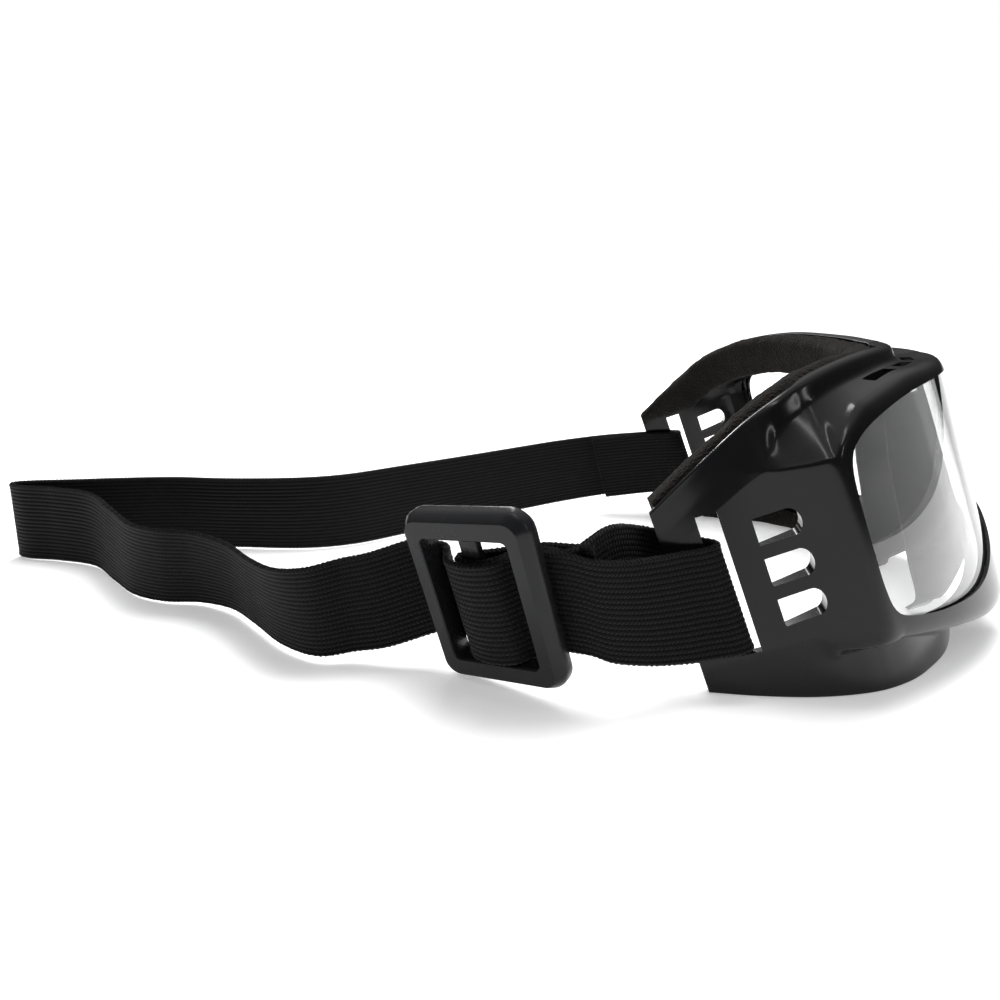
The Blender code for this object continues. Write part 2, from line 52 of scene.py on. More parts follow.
REAR_D = -4.85
SLOT_D, SLOT_H = (-18.6, -13.8), (4.9, 36.8)
VENT_D = (-34.6, -25.0)
VENT_H = ((27.1, 33.2), (17.9, 24.1), (8.8, 14.9))
NOSE_HALF, NOSE_TOP = 24.5, -6.5
STRAP_W, STRAP_T = 25.0, 1.5
SLIDER_W, SLIDER_H, SLIDER_T = 33.0, 42.4, 6.0
WINDOW_W, WINDOW_H = 22.8, 30.4
BROW = ((74.4, -4.85, 40.8), (73.2, -13.2, 45.1), (71.8, -21.9, 49.2), (70.3, -30.5, 53.0),
        (66.2, -39.6, 55.4), (58.0, -49.9, 56.6), (43.5, -62.3, 55.2), (22.0, -72.6, 51.6),
        (0.0, -76.0, 50.0))
SKIRT = ((77.9, -4.85), (78.0, -15.0), (76.6, -27.0), (72.6, -38.5), (66.6, -47.0), (58.4, -54.0),
         (44.5, -62.3), (25.0, -68.5), (0.0, -70.5))
# lens opening, half outline: x, h
OPENING = ((0.0, 39.2), (20.0, 40.3), (38.0, 42.6), (55.0, 44.6), (67.0, 44.1), (73.4, 42.0),
           (75.8, 38.3), (76.5, 31.0), (76.6, 20.0), (76.5, 10.5), (75.5, 4.5), (72.2, 1.0),
           (62.9, -4.0), (50.0, -8.0), (38.0, -8.4), (24.0, -5.5), (12.0, -1.5), (0.0, 0.0))
# bezel lip's lower and upper edges, height over half width
LIP_LOW = ((0.0, -21.0), (25.0, -22.0), (40.0, -19.0), (55.0, -13.0), (66.0, -7.5), (76.0, -2.0))
LIP_TOP = ((0.0, 43.2), (20.0, 44.2), (38.0, 46.6), (55.0, 48.8), (67.0, 48.6), (76.0, 45.0))
WALL_ROWS = ((18.2, -61.0, -66.0, -22.3), (24.2, -63.3, -70.0, -17.5), (23.0, -64.1, -77.8, -9.0),
             (21.5, -65.0, -80.2, -2.0), (19.9, -65.9, -80.4, 6.0), (18.2, -67.2, -80.8, 18.0),
             (17.2, -69.6, -81.0, 32.0), (16.6, -72.6, -80.8, 42.5))


# ------------------------------------------------------------------ curves
def curve(points, n, every=None):
    p = np.array(points, float)
    ext = np.vstack([2 * p[0] - p[1], p, 2 * p[-1] - p[-2]])
    fine = []
    for i in range(1, len(ext) - 2):
        a, b, c, e = ext[i - 1], ext[i], ext[i + 1], ext[i + 2]
        for u in np.linspace(0, 1, 24, endpoint=False):
            fine.append(0.5 * (2 * b + (c - a) * u + (2 * a - 5 * b + 4 * c - e) * u * u
                               + (3 * b - a - 3 * c + e) * u ** 3))
    fine.append(p[-1])
    fine = np.array(fine)
    s = np.r_[0, np.cumsum(np.linalg.norm(np.diff(fine, axis=0), axis=1))]
    if every:
        n = max(4, int(round(s[-1] / every)) + 1)
    u = np.linspace(0, s[-1], n)
    return np.stack([np.interp(u, s, fine[:, k]) for k in range(p.shape[1])], 1)


def smooth(a, b, v):
    u = min(max((v - a) / (b - a), 0.0), 1.0)
    return u * u * (3 - 2 * u)


def place(x, d, h):
    y = d * math.cos(LEAN) + h * math.sin(LEAN)
    z = -d * math.sin(LEAN) + h * math.cos(LEAN)
    return ((x + ORIGIN_X) / 1000, (y - ORIGIN_Y) / 1000, z / 1000)


def stand(x, y, z):
    return ((x + ORIGIN_X) / 1000, (y - ORIGIN_Y) / 1000, z / 1000)


# ------------------------------------------------------------------ mesh helpers
def new_mesh(name, verts, faces, recalc=True):
    me = bpy.data.meshes.new(name)
    me.from_pydata([tuple(map(float, v)) for v in verts], [], [tuple(int(i) for i in f) for f in faces])
    if recalc:
        bm = bmesh.new()
        bm.from_mesh(me)
        bmesh.ops.recalc_face_normals(bm, faces=bm.faces)
        bm.to_mesh(me)
        bm.free()
    ob = bpy.data.objects.new(name, me)
    bpy.context.scene.collection.objects.link(ob)
    return ob


def loft(rings, closed=False):
    n, m = len(rings), len(rings[0])
    verts = [p for r in rings for p in r]
    faces = []
    for i in range(n if closed else n - 1):
        j = (i + 1) % n
        for k in range(m):
            q = (k + 1) % m
            faces.append((i * m + k, i * m + q, j * m + q, j * m + k))
    if not closed:
        faces.append(tuple(range(m)))
        faces.append(tuple((n - 1) * m + k for k in range(m)))
    return verts, faces


def prism(outline, lift):
    return new_mesh("cut", *loft([[lift(u, v, side) for u, v in outline] for side in (0, 1)]))


def apply_mods(ob):
    dg = bpy.context.evaluated_depsgraph_get()
    me = bpy.data.meshes.new_from_object(ob.evaluated_get(dg))
    old = ob.data
    ob.modifiers.clear()
    ob.data = me
    bpy.data.meshes.remove(old)


def cut(ob, others, op="DIFFERENCE"):
    """Boolean with each other object in turn, applied at once; the cutters are removed."""
    for o in others:
        m = ob.modifiers.new("b", "BOOLEAN")
        m.operation = op
        m.solver = "EXACT"
        m.object = o
        bpy.context.view_layer.update()
        apply_mods(ob)
        bpy.data.objects.remove(o, do_unlink=True)


def shade(ob, angle=35.0):
    me = ob.data
    me.shade_smooth()
    me.set_sharp_from_angle(angle=math.radians(angle))


def outward(path, k):
    a, b = path[max(k - 1, 0)], path[min(k + 1, len(path) - 1)]
    t = np.array([b[0] - a[0], b[1] - a[1]])
    t /= np.linalg.norm(t)
    return np.array([-t[1], t[0]])


# ------------------------------------------------------------------ materials
class Nodes:
    def __init__(self, name):
        self.m = bpy.data.materials.new(name)
        self.m.use_nodes = True
        self.t = self.m.node_tree
        self.b = self.t.nodes["Principled BSDF"]

    def add(self, kind, **kw):
        n = self.t.nodes.new(kind)
        for k, v in kw.items():
            if k in n.inputs.keys() if hasattr(n.inputs, "keys") else False:
                n.inputs[k].default_value = v
            else:
                setattr(n, k, v)
        return n

    def link(self, a, b):
        self.t.links.new(a, b)

    def set(self, **kw):
        for k, v in kw.items():
            self.b.inputs[k.replace("_", " ")].default_value = v

    def noise(self, scale, detail=3.0, rough=0.55, coords=None):
        n = self.add("ShaderNodeTexNoise")
        n.inputs["Scale"].default_value = scale
        n.inputs["Detail"].default_value = detail
        n.inputs["Roughness"].default_value = rough
        self.link(coords or self.coord(), n.inputs["Vector"])
        return n.outputs["Fac"]

    def coord(self, what="Object"):
        if not hasattr(self, "tc"):
            self.tc = self.add("ShaderNodeTexCoord")
        return self.tc.outputs[what]

    def math(self, op, a, b=None, c=None):
        n = self.add("ShaderNodeMath")
        n.operation = op
        for i, v in enumerate((a, b, c)):
            if v is None:
                continue
            if isinstance(v, (int, float)):
                n.inputs[i].default_value = v
            else:
                self.link(v, n.inputs[i])
        return n.outputs[0]

    def ramp(self, fac, stops):
        n = self.add("ShaderNodeValToRGB")
        e = n.color_ramp.elements
        while len(e) < len(stops):
            e.new(0.5)
        for el, (p, c) in zip(e, stops):
            el.position = p
            el.color = (*c, 1) if len(c) == 3 else c
        self.link(fac, n.inputs["Fac"])
        return n.outputs["Color"]

    def range(self, v, a, b, c, d):
        n = self.add("ShaderNodeMapRange")
        for i, x in enumerate((a, b, c, d)):
            n.inputs[i + 1].default_value = x
        self.link(v, n.inputs[0])
        return n.outputs[0]

    def bump(self, height, strength, distance, normal=None):
        n = self.add("ShaderNodeBump")
        n.inputs["Strength"].default_value = strength
        n.inputs["Distance"].default_value = distance
        self.link(height, n.inputs["Height"])
        if normal is not None:
            self.link(normal, n.inputs["Normal"])
        return n.outputs["Normal"]

    def to(self, out, sock):
        self.link(out, self.b.inputs[sock])


def plastic(name, base, rough, ripple, wear=0.02):
    n = Nodes(name)
    big = n.noise(28.0, 2.0, 0.5)
    fine = n.noise(900.0, 4.0, 0.6)
    tone = n.range(big, 0.3, 0.7, 0.0, 1.0)
    n.to(n.ramp(tone, [(0.0, base), (1.0, tuple(c * 1.35 + 0.0015 for c in base))]), "Base Color")
    r = n.math("ADD", n.range(big, 0.25, 0.75, rough - 0.03, rough + 0.05), n.range(fine, 0.3, 0.7, -0.01, 0.01))
    n.to(r, "Roughness")
    n1 = n.bump(big, 0.10 * ripple, 0.002)
    n.to(n.bump(fine, 0.012 * ripple, 0.0001, n1), "Normal")
    n.set(IOR=1.5, Specular_IOR_Level=0.21)
    return n.m


FRAME_MAT = plastic("moulded_gloss_black", (0.0050, 0.0050, 0.0056), 0.15, 0.6)
SLIDER_MAT = plastic("moulded_satin_black", (0.0070, 0.0072, 0.0080), 0.24, 0.9)


def lens_material():
    n = Nodes("clear_polycarbonate")
    n.set(IOR=1.585, Metallic=0.0)
    n.b.inputs["Transmission Weight"].default_value = 1.0
    speck = n.add("ShaderNodeTexVoronoi")
    speck.inputs["Scale"].default_value = 140.0
    speck.inputs["Randomness"].default_value = 1.0
    n.link(n.coord(), speck.inputs["Vector"])
    dot = n.math("LESS_THAN", speck.outputs["Distance"], 0.035)
    keep = n.math("GREATER_THAN", n.noise(60.0, 1.0), 0.56)
    dust = n.math("MULTIPLY", dot, keep)
    n.to(n.ramp(dust, [(0.0, (0.985, 0.99, 0.99)), (1.0, (0.75, 0.76, 0.78))]), "Base Color")
    n.to(n.math("ADD", n.range(n.noise(18.0, 3.0), 0.3, 0.7, 0.0, 0.02), n.math("MULTIPLY", dust, 0.5)), "Roughness")
    n.to(n.bump(n.noise(9.0, 1.0), 0.03, 0.003), "Normal")
    return n.m


LENS_MAT = lens_material()


def foam_material():
    n = Nodes("open_cell_foam")
    v = n.add("ShaderNodeTexVoronoi")
    v.inputs["Scale"].default_value = 1500.0
    n.link(n.coord(), v.inputs["Vector"])
    cloud = n.noise(70.0, 3.0)
    n.to(n.ramp(n.range(cloud, 0.3, 0.7, 0.0, 1.0), [(0.0, (0.0052, 0.0048, 0.0045)), (1.0, (0.0118, 0.0108, 0.0100))]), "Base Color")
    n.to(n.range(cloud, 0.3, 0.7, 0.86, 1.0), "Roughness")
    n1 = n.bump(v.outputs["Distance"], 0.9, 0.0005)
    n.to(n.bump(n.noise(420.0, 4.0), 0.18, 0.0004, n1), "Normal")
    n.b.inputs["Sheen Weight"].default_value = 0.08
    n.b.inputs["Sheen Roughness"].default_value = 0.5
    n.b.inputs["Sheen Tint"].default_value = (0.50, 0.46, 0.42, 1)
    n.set(Specular_IOR_Level=0.15)
    return n.m


FOAM_MAT = foam_material()


def elastic_material():
    """Knitted elastic: u runs along the band and v across it, both in millimetres / 100."""
    n = Nodes("knitted_elastic")
    uv = n.add("ShaderNodeUVMap")
    uv.uv_map = "band"
    sep = n.add("ShaderNodeSeparateXYZ")
    n.link(uv.outputs["UV"], sep.inputs[0])
    u = n.math("MULTIPLY", sep.outputs["X"], 100.0)
    v = n.math("MULTIPLY", sep.outputs["Y"], 100.0)
    row = n.math("MULTIPLY", v, 1 / 1.25)
    rf = n.math("FRACT", row)
    tri = n.math("ABSOLUTE", n.math("SUBTRACT", rf, 0.5))            # 0.5 at row edges, 0 mid row
    slant = n.math("MULTIPLY", tri, 1.5)
    loops = n.math("FRACT", n.math("ADD", n.math("MULTIPLY", u, 1 / 0.95), slant))
    hump = n.math("SINE", n.math("MULTIPLY", loops, math.pi))
    valley = n.math("SINE", n.math("MULTIPLY", rf, math.pi))
    knit = n.math("MULTIPLY", n.math("ADD", hump, 0.35), n.math("ADD", valley, 0.25))
    fuzz = n.noise(1600.0, 4.0, 0.7)
    # painted shade: the colour follows the knit's relief, darker in the valleys between loops and rows and lighter on
    # the humps; the fuzz adds random tone
    tone = n.math("ADD", n.math("MULTIPLY", knit, 0.62), n.math("MULTIPLY", fuzz, 0.25))
    n.to(n.ramp(tone, [(0.0, (0.0010, 0.0010, 0.0010)), (0.55, (0.0026, 0.0026, 0.0028)), (1.0, (0.0075, 0.0075, 0.0080))]), "Base Color")
    n.to(n.range(tone, 0.2, 1.0, 0.85, 0.52), "Roughness")
    n1 = n.bump(knit, 0.55, 0.0004)
    n.to(n.bump(fuzz, 0.35, 0.00015, n1), "Normal")
    n.b.inputs["Sheen Weight"].default_value = 0.04
    n.b.inputs["Sheen Roughness"].default_value = 0.4
    n.set(Specular_IOR_Level=0.14)
    return n.m


ELASTIC_MAT = elastic_material()


# ------------------------------------------------------------------ frame shell, fine version of the CAD solid
def lens_d(x):
    return -LENS_DEPTH + LENS_CURVE * x * x


def side_half(d, h):
    return 76.3 + 0.055 * (-d - 15) + 0.13 * (20 - h)


def interp(table, x):
    """Smooth (monotone cubic) lookup in a table of (x, value)."""
    xs = np.array([r[0] for r in table], float)
    ys = np.array([r[1] for r in table], float)
    if x <= xs[0]:
        return float(ys[0])
    if x >= xs[-1]:
        return float(ys[-1])
    hs = np.diff(xs)
    dl = np.diff(ys) / hs
    m = np.zeros(len(xs))
    for k in range(1, len(xs) - 1):
        if dl[k - 1] * dl[k] > 0:
            w1, w2 = 2 * hs[k] + hs[k - 1], hs[k] + 2 * hs[k - 1]
            m[k] = (w1 + w2) / (w1 / dl[k - 1] + w2 / dl[k])
    m[0], m[-1] = dl[0], dl[-1]
    k = int(np.searchsorted(xs, x)) - 1
    u = (x - xs[k]) / hs[k]
    return float((2 * u ** 3 - 3 * u * u + 1) * ys[k] + (u ** 3 - 2 * u * u + u) * hs[k] * m[k]
                 + (-2 * u ** 3 + 3 * u * u) * ys[k + 1] + (u ** 3 - u * u) * hs[k] * m[k + 1])


# lower edge of the side panel's and bezel's lip, and the two edges of the ledge under the brow, over depth
STEP = ((-49.0, -3.0), (-45.0, -2.0), (-40.0, -1.6), (-34.4, 0.1), (-28.0, 5.0), (-18.0, 4.6), (-4.85, 3.5))
LEDGE_LOW = ((-54.5, 48.2), (-51.5, 46.6), (-49.5, 45.4), (-46.9, 43.6), (-44.3, 41.9), (-40.0, 42.0),
             (-35.4, 42.4), (-30.1, 42.7))
LEDGE_TOP = ((-46.9, 51.6), (-42.9, 50.8), (-39.4, 49.7), (-35.4, 47.7), (-32.2, 45.4), (-30.1, 43.1))
TURN_D, TURN_X = -42.2, 76.4        # the side turns into the front between this depth and this half width
brow_fine = curve(BROW, 1200)
skirt_fine = curve(SKIRT, 1200)


def row_at(fine, column, value):
    """Fractional row of a fine curve where one of its columns, which falls along it, has this value."""
    return float(np.interp(-value, -fine[:, column], np.arange(len(fine))))


def row(fine, at):
    return np.array([np.interp(at, np.arange(len(fine)), fine[:, k]) for k in range(fine.shape[1])])


def side_x(d):
    return 76.3 + 0.055 * (-d - 15) + 0.65 * smooth(25.0, 41.0, -d)


def on_rim(kind, v):
    """Plan point of the outer face, its outward normal, and the brow and skirt points beside it."""
    bs, ss = row_at(brow_fine, 1, TURN_D), row_at(skirt_fine, 1, TURN_D)
    bf, sf = row_at(brow_fine, 0, 0.80 * TURN_X), row_at(skirt_fine, 0, 0.905 * TURN_X)
    p0, p2 = np.array([side_x(TURN_D), TURN_D]), np.array([TURN_X, lens_d(TURN_X) - LIP])
    p1 = np.array([78.6, -44.6])
    if kind == "side":
        p, t = np.array([side_x(v), v]), np.array([0.0, -1.0])
        b, k = row_at(brow_fine, 1, v), row_at(skirt_fine, 1, v)
    elif kind == "turn":
        p = (1 - v) ** 2 * p0 + 2 * v * (1 - v) * p1 + v * v * p2
        t = (1 - v) * (p1 - p0) + v * (p2 - p1)
        b, k = bs + (bf - bs) * v, ss + (sf - ss) * v
    else:
        p, t = np.array([v, lens_d(v) - LIP]), np.array([-1.0, -2 * LENS_CURVE * v])
        b, k = row_at(brow_fine, 0, 0.80 * v), row_at(skirt_fine, 0, 0.905 * v)
    t = t / np.linalg.norm(t)
    return p, np.array([-t[1], t[0]]), row(brow_fine, b), row(skirt_fine, k)


def section(station):
    """Outer and inner profile of the shell, bottom edge to brow edge, for the +x half."""
    p, n, brow, skirt = on_rim(*station)
    x, d = p
    front = smooth(20.0, 42.0, -d)              # 0 on the flat side panel, 1 round the bezel
    step = smooth(27.0, 38.0, -d)               # depth of the step under the lip
    tuck = smooth(29.5, 36.0, -d)               # depth of the ledge under the brow
    low = interp(STEP, d) if x > 75.5 or d > -44 else interp(LIP_LOW, x)
    top = interp(LEDGE_LOW, d) if d > -54.5 else interp(LIP_TOP, x)
    base = interp(LEDGE_TOP, d) if d > -44 else brow[2] - 4.9
    if d > -30.1:
        top = brow[2] - 10.3
        base = brow[2] - 9.9 + 4.0 * smooth(-30.1, -22.0, d)
    floor_h = math.tan(LEAN) * skirt[1]
    round_r = 0.8 + 1.8 * smooth(42.0, 60.0, -d)

    def face(h, inset=0.0):
        lean = 0.13 * (20 - h) * (1 - front)
        return np.array([x + n[0] * (lean - inset), d + n[1] * (lean - inset), h])

    def panel(h, inset=0.0):
        """Side panel: flat, then curving in to the brow edge."""
        q = face(h, inset)
        h0 = brow[2] - 11.0
        if h > h0:
            u = min((h - h0) / 11.0, 1.0) ** 1.5
            q = q + (np.array([brow[0] - n[0] * inset, brow[1] - n[1] * inset, h]) - q) * u
        return q

    def beside(line, off, h):
        return np.array([line[0] + n[0] * off, line[1] + n[1] * off, h])

    def mix(u, v, w):
        return u + (v - u) * w

    def ring(h):
        """Back of the bezel ring, kept from crowding inside the turn."""
        if station[0] == "turn":
            a, b = side_x(TURN_D) - RING, TURN_X - 0.735 * RING
            return mix(np.array([a, TURN_D + 3.4, h]), np.array([b, lens_d(TURN_X) - LIP + 0.678 * RING, h]), station[1])
        return face(h, RING) + np.array([0, 3.4 * smooth(34.0, 42.2, -d) if station[0] == "side" else 0.0, 0])
    p0 = beside(skirt, 0, floor_h)
    p2 = face(low, 1.2 * step)
    p1 = mix(mix(p0, p2, 0.55), beside(skirt, 0.4, low - 2.0), step)
    pl = mix(panel(top), face(top, round_r), tuck)
    pb = mix(panel(base), beside(brow, 1.6, base), tuck)
    outer = [p0, p1, p2, face(low + 1.4, 0.4 * step), face(low + 4.0), face(0.5 * (low + top)),
             face(top - 1.6 * round_r), face(top - 0.45 * round_r, 0.3 * round_r * tuck), pl,
             mix(pl, pb, 0.6) - np.array([0, 0, 0.25 * tuck]), pb,
             mix(panel(brow[2] - 1.0), beside(brow, 1.2, brow[2] - 1.0), tuck), beside(brow, 0, brow[2])]
    hs = floor_h + np.array([0, 0.15, 0.27, 0.5, 0.73, 0.84, 0.93, 1.0]) * (brow[2] - floor_h)
    flat = [beside(skirt, -WALL, floor_h)] + [panel(h, WALL) for h in hs[1:]]
    deep = [beside(skirt, -WALL, math.tan(LEAN) * (skirt[1] - n[1] * WALL)), beside(skirt, 0.8 - WALL, low - 1.5),
            ring(low + 3.0), ring(0.5 * (low + top)), ring(top - 2.6),
            beside(brow, -0.7, base - 2.0), beside(brow, -WALL, base + 0.6), beside(brow, -WALL, brow[2])]
    inner = [mix(u, v, front) for u, v in zip(flat, deep)]
    return outer, inner



def rounded_ring(outer, inner):
    """Closed profile with every corner rounded by its own radius; the same point count at each station."""
    radii = [0.5, 1.2, 0.8, 1.6, 3.0, 6.0, 3.5, 1.6, 0.9, 2.0, 1.1, 0.9, 0.55] + [0.5, 1.5, 2.0, 2.0, 2.0, 2.0, 2.0, 0.5]
    fill = [0, 2, 1, 1, 3, 5, 2, 0, 2, 1, 2, 0, 0] + [2, 2, 1, 2, 1, 1, 1, 1]
    p = [np.array(q, float) for q in list(outer) + list(inner[::-1])]
    m = len(p)
    ring = []
    for k in range(m):
        a, c, b = p[k - 1], p[k], p[(k + 1) % m]
        la, lb = np.linalg.norm(a - c), np.linalg.norm(b - c)
        ra, rb = min(radii[k], 0.46 * la), min(radii[k], 0.46 * lb)
        s0, s1 = c + (a - c) * ra / max(la, 1e-9), c + (b - c) * rb / max(lb, 1e-9)
        for u in np.linspace(0, 1, 5):
            ring.append((1 - u) ** 2 * s0 + 2 * u * (1 - u) * c + u * u * s1)
        d = p[(k + 2) % m]
        ld = np.linalg.norm(d - b)
        r2 = min(radii[(k + 1) % m], 0.46 * lb)
        nxt = b + (c - b) * r2 / max(lb, 1e-9)
        for u in np.linspace(0, 1, fill[k] + 2)[1:-1]:
            ring.append(s1 + (nxt - s1) * u)
    return ring


def build_frame():
    side = list(np.linspace(REAR_D, -28.0, 24)) + list(np.linspace(-28.9, TURN_D, 24))
    fronts = [TURN_X, 75.7, 75.0, 74.2, 73.3, 72.3, 71.2] + list(np.linspace(70.0, 0.0, 52))
    stations = [("side", d) for d in side] + [("turn", t) for t in np.linspace(0.08, 0.92, 10)] + [("front", x) for x in fronts]
    halfs = [rounded_ring(*section(st)) for st in stations]
    rings = [[place(*q) for q in r] for r in halfs]
    rings += [[place(-q[0], q[1], q[2]) for q in r] for r in halfs[-2::-1]]
    return new_mesh("frame_shell", *loft(rings))


def outline(grow_x, grow_h, n=46):
    pts = curve(OPENING, n)
    mid = 18.0
    pts = [(x * (1 + grow_x / 77.1), h + grow_h * (1 if h > mid else -1) * min(abs(h - mid) / 12.0, 1.0))
           for x, h in pts]
    return pts + [(-x, h) for x, h in pts[-2:0:-1]]


def lens_solid(name, grow_x, grow_h, front, back, n=46, levels=(1.0, 0.8, 0.55, 0.3), edge=0.0):
    rim = outline(grow_x, grow_h, n)
    m = len(rim)
    verts, faces = [], []
    for off in (front, back):
        base = len(verts)
        for lv in levels:
            for x, h in rim:
                X, H = x * lv, 18 + (h - 18) * lv
                verts.append(place(X, lens_d(X) + off, H))
        verts.append(place(0, lens_d(0) + off, 18))
        for i in range(len(levels) - 1):
            for k in range(m):
                q = (k + 1) % m
                faces.append((base + i * m + k, base + i * m + q, base + (i + 1) * m + q, base + (i + 1) * m + k))
        c = base + len(levels) * m
        for k in range(m):
            faces.append((base + (len(levels) - 1) * m + k, base + (len(levels) - 1) * m + (k + 1) % m, c))
    count = len(levels) * m + 1
    for k in range(m):
        q = (k + 1) % m
        faces.append((k, q, count + q, count + k))
    return new_mesh(name, verts, faces)


shell = build_frame()
opening = prism(outline(0, 0, 140), lambda u, v, s: place(u, (-110, -41.5)[s], v))
groove = lens_solid("groove", 0.5, 1.9, -0.2, LENS_T + 0.7, 100)
webs = []
for sign in (1, -1):
    rows = curve(WALL_ROWS, 40)
    webs.append(new_mesh("web", *loft([[place(sign * (x - 1.0), dr + 0.5, h), place(sign * (x - 0.4), dr, h), place(sign * (x + 0.4), dr, h),
                                        place(sign * (x + 1.0), dr + -0.5 + 1.0, h), place(sign * (x + 1.0), df, h), place(sign * (x - 1.0), df, h)]
                                       for x, dr, df, h in rows])))
arch = curve([(0, NOSE_TOP), (-7.5, NOSE_TOP - 0.6), (-15.5, -9.5), (-NOSE_HALF + 2.0, -15.5), (-NOSE_HALF - 1.0, -24), (-NOSE_HALF - 1.5, -40)], 40)[::-1]
arch = [tuple(p) for p in arch] + [(-x, h) for x, h in arch[-2::-1]]
notch = prism(arch, lambda u, v, s: place(u, (-100, -66.8)[s], v))


def d_shape(d0, d1, h0, h1):
    r = (h1 - h0) / 2
    pts = [(d1, h1), (d1, h0)]
    for a in np.linspace(-90, 90, 25):
        pts.append((d0 + r * 0.75 - r * 0.75 * math.cos(math.radians(a)), (h0 + h1) / 2 + 0.6 + r * math.sin(math.radians(a))))
    return pts


side_cuts = []
for sign in (1, -1):
    shapes = [[(SLOT_D[0], SLOT_H[0]), (SLOT_D[1], SLOT_H[0]), (SLOT_D[1], SLOT_H[1]), (SLOT_D[0], SLOT_H[1])]]
    shapes += [d_shape(VENT_D[0], VENT_D[1], h0, h1) for h0, h1 in VENT_H]
    for s in shapes:
        side_cuts.append(prism(s, lambda u, v, k, sg=sign: place(sg * (66, 92)[k], u, v)))
    for xc in (47.0, 32.5, 16.0):
        c0, c1 = row(brow_fine, row_at(brow_fine, 0, xc - 5.0)), row(brow_fine, row_at(brow_fine, 0, xc + 5.0))
        ring = [(c1[0] + 1.3, c1[1] - 2.6), (c0[0] + 1.3, c0[1] - 2.6), (c0[0] + 2.2, c0[1] - 5.2), (c1[0] + 2.2, c1[1] - 5.2)]
        h = interp(LIP_TOP, xc / 0.8)
        side_cuts.append(prism(ring, lambda u, v, k, sg=sign, hh=h: place(sg * u, v, hh + (-8, 6)[k])))
cut(shell, [opening, groove])
cut(shell, webs, "UNION")
cut(shell, [notch] + side_cuts)
shade(shell, 32)
shell.data.materials.clear()
shell.data.materials.append(FRAME_MAT)
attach(shell, "goggles")
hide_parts("frame")

glass = lens_solid("lens_shell", 0.15, 1.4, 0.2, LENS_T + 0.2, 120, tuple(np.linspace(1.0, 0.04, 24)))
shade(glass, 40)
glass.data.materials.append(LENS_MAT)
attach(glass, "goggles")
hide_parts("lens")


# ------------------------------------------------------------------ foam
def strip(name, path, sect, dens=1.0):
    rings = []
    for k in range(len(path)):
        x, d, h = path[k][:3]
        n = outward(path, k)
        rings.append([place(x - n[0] * a, d - n[1] * a, h + b) for a, b in sect(path[k], k / (len(path) - 1))])
    return new_mesh(name, *loft(rings))


def hash_noise(p, scale, seed):
    """Smooth value noise, the same each run."""
    q = np.asarray(p) * scale + seed * 17.13
    i = np.floor(q).astype(np.int64)
    f = q - i
    f = f * f * (3 - 2 * f)
    out = 0
    for dx in (0, 1):
        for dy in (0, 1):
            for dz in (0, 1):
                hsh = (i[:, 0] + dx) * 73856093 ^ (i[:, 1] + dy) * 19349663 ^ (i[:, 2] + dz) * 83492791
                hsh = (hsh * 2654435761) & 0xFFFFFFFF
                val = ((hsh ^ (hsh >> 15)) % 65536) / 65535.0
                wgt = (f[:, 0] if dx else 1 - f[:, 0]) * (f[:, 1] if dy else 1 - f[:, 1]) * (f[:, 2] if dz else 1 - f[:, 2])
                out = out + val * wgt
    return out * 2 - 1


def roughen(ob, layers):
    """Push points along their normals by noise layers of (scale per metre, amount in metres)."""
    me = ob.data
    n = len(me.vertices)
    co = np.empty(n * 3, np.float32)
    me.vertices.foreach_get("co", co)
    co = co.reshape(-1, 3).astype(float)
    no = np.array([v.normal for v in me.vertices])
    for s, (scale, amount) in enumerate(layers):
        co += no * (hash_noise(co, scale, s + 1) * amount)[:, None]
    me.vertices.foreach_set("co", co.astype(np.float32).ravel())
    me.update()


def round_section(pts, n=28):
    p = np.array(pts + [pts[0]], float)
    for _ in range(2):
        q = []
        for a, b in zip(p[:-1], p[1:]):
            q += [a + (b - a) * 0.2, a + (b - a) * 0.8]
        q.append(q[0])
        p = np.array(q)
    s = np.r_[0, np.cumsum(np.linalg.norm(np.diff(p, axis=0), axis=1))]
    u = np.linspace(0, s[-1], n, endpoint=False)
    return [(np.interp(t, s, p[:, 0]), np.interp(t, s, p[:, 1])) for t in u]


full = curve(BROW, 190)
brow_path = [tuple(p) for p in full] + [(-p[0], p[1], p[2]) for p in full[-2::-1]]
brow_path = [p for p in brow_path if p[1] < -6.0]


def brow_sect(p, u):
    tall = min(12.5, max(3.6, p[2] - 38.0))
    a = WALL + 0.55
    return round_section([(a, 0.6), (a + 6.5, 0.6), (a + 7.5, -0.35 * tall), (a + 6.0, 0.6 - tall), (a + 0.6, 0.6 - tall), (a, -0.5 * tall)], 40)


brow_foam = strip("brow_seal", brow_path, brow_sect)
roughen(brow_foam, [(90, 0.0004), (420, 0.00018), (1300, 0.00008)])
skirt_half = curve(SKIRT, 240)
low_path = [(x, d, 0) for x, d in skirt_half if -58.0 < d < -15.5]
cheeks = []
for sign, side in ((1, "far"), (-1, "near")):
    rings = []
    for k in range(len(low_path)):
        n = outward(low_path, k)
        x, d, _ = low_path[k]
        a0 = WALL + 0.7
        sec = round_section([(a0, 1.0), (a0 + 5.0, 0.6), (a0 + 5.6, 4.0), (a0 + 4.6, 7.4), (a0 + 0.2, 7.4)], 30)
        rings.append([place(sign * (x - n[0] * a), d - n[1] * a, math.tan(LEAN) * (d - n[1] * a) + b) for a, b in sec])
    c = new_mesh("cheek_seal_" + side, *loft(rings))
    roughen(c, [(90, 0.0003), (420, 0.00015), (1300, 0.00007)])
    cheeks.append((c, "cheek_foam_" + side))
for ob, node in [(brow_foam, "brow_foam")] + cheeks:
    shade(ob, 60)
    ob.data.materials.append(FOAM_MAT)
    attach(ob, "goggles")
    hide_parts(node)

